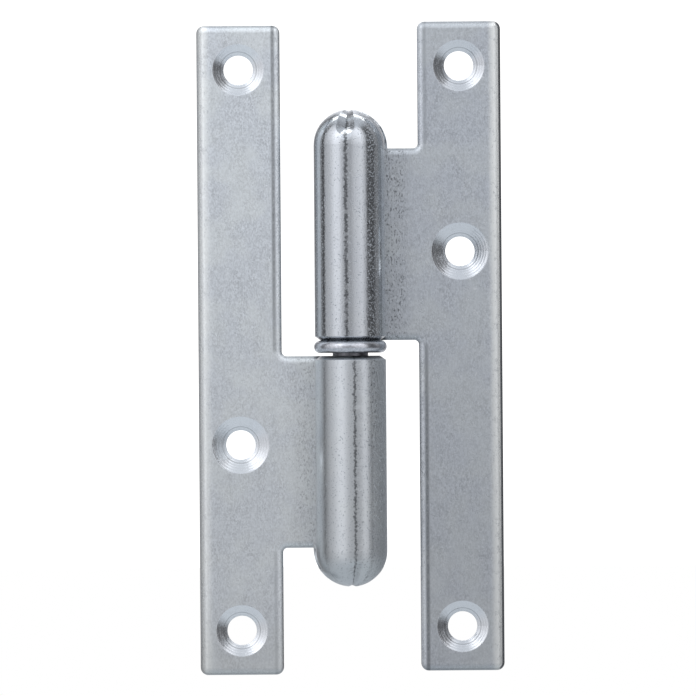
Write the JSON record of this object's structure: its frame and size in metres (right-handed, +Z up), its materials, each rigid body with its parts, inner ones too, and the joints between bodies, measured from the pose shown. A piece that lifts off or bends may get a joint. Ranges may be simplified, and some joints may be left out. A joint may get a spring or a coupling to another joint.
{
  "type": "lift off hinge",
  "caption": "Lift-off butt hinge of stamped zinc-plated steel: two tall leaves with rolled, dome-ended knuckles, a fixed pin, a bearing washer and countersunk screw holes.",
  "frame": {"origin": "on the pin axis, midway between the mouths of the two knuckles", "axes": "+Z up along the pin, the way the upper leaf lifts off; +X towards the upper leaf's outer edge; +Y towards the flat backs of the leaves, which lie open and level"},
  "size_m": [0.0516, 0.0122, 0.1106],
  "materials": {
    "lower_leaf_zinc": "bright zinc plate on stamped steel",
    "upper_leaf_zinc": "bright zinc plate on stamped steel",
    "pin_steel": "ground steel, lightly oiled",
    "washer_zinc": "bright zinc plate"
  },
  "bodies": {
    "pin_leaf": {"lower_leaf": "lower_leaf_zinc", "hinge_pin": "pin_steel"},
    "washer": {"bearing_washer": "washer_zinc"},
    "socket_leaf": {"upper_leaf": "upper_leaf_zinc"}
  },
  "joints": [
    {"name": "swing", "type": "hinge", "parent": "pin_leaf", "child": "washer", "pos_m": [0, 0, 0], "axis": [0, 0, 1], "range_deg": [-180, 120]},
    {"name": "lift_off", "type": "slide", "parent": "washer", "child": "socket_leaf", "axis": [0, 0, 1], "range_m": [0, 0.04]}
  ]
}
